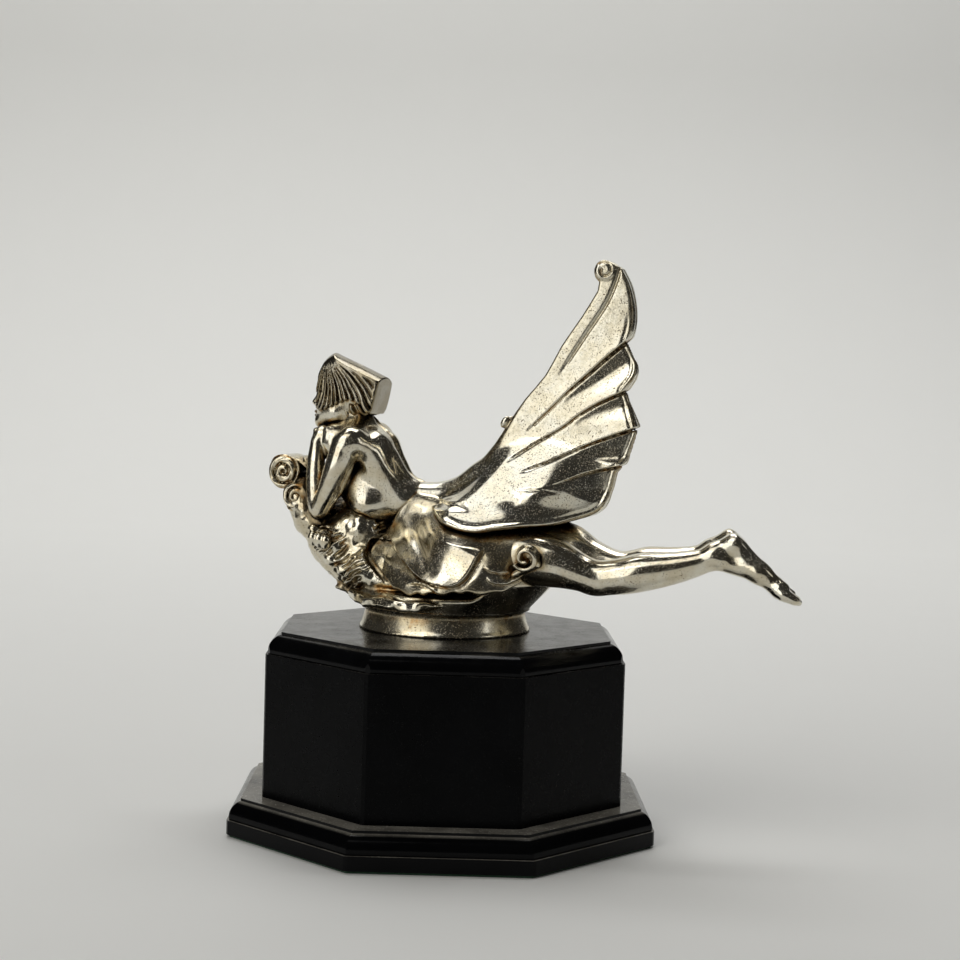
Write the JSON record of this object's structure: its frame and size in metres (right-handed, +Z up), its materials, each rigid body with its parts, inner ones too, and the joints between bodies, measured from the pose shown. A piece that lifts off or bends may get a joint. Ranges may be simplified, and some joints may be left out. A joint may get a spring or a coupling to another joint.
{
  "type": "hood ornament",
  "caption": "Cast car mascot of a winged nymph leaning forward on a rocky prow, legs stretched behind, clamped by a stud to an octagonal display plinth.",
  "frame": {"origin": "centre of the plinth's flat underside, on the axis of the octagon and of the mounting stud", "axes": "+Z up, -Y the plinth's flat front face, the mascot's head towards -X and its legs towards +X, turned 18 degrees about Z so that the feet come forward"},
  "size_m": [0.1695, 0.1304, 0.1785],
  "materials": {
    "plated_casting": "polished nickel plate, aged and stained in the crevices",
    "plated_wing": "polished nickel plate with fine dark pitting",
    "ebonised_wood": "black gloss over close-grained wood, worn at the arrises",
    "bare_wood": "bare planed wood",
    "baize": "felted cloth",
    "screw_brass": "plain",
    "boss_brass": "turned, tarnished",
    "fixing_steel": "zinc-plated steel"
  },
  "bodies": {
    "root": {"baize_pad": "baize", "foot_board": "ebonised_wood", "stave_1": "ebonised_wood", "stave_2": "ebonised_wood", "stave_3": "ebonised_wood", "stave_4": "ebonised_wood", "stave_5": "ebonised_wood", "stave_6": "ebonised_wood", "stave_7": "ebonised_wood", "stave_8": "ebonised_wood", "top_board": "ebonised_wood", "pressure_block": "bare_wood", "glue_block_1": "bare_wood", "glue_block_2": "bare_wood", "glue_block_3": "bare_wood", "glue_block_4": "bare_wood", "foot_screws": "screw_brass", "mounting_stud": "fixing_steel", "clamp_washer": "fixing_steel", "lock_washer": "fixing_steel", "mounting_nut": "fixing_steel", "stud_boss": "boss_brass", "collar": "plated_casting", "rock_base": "plated_casting", "prow_scroll": "plated_casting", "torso": "plated_casting", "head": "plated_casting", "hair": "plated_casting", "left_arm": "plated_casting", "right_arm": "plated_casting", "left_leg": "plated_casting", "right_leg": "plated_casting", "hip_drape": "plated_casting", "drape_curl": "plated_casting", "left_wing": "plated_wing", "right_wing": "plated_wing"}
  },
  "joints": []
}
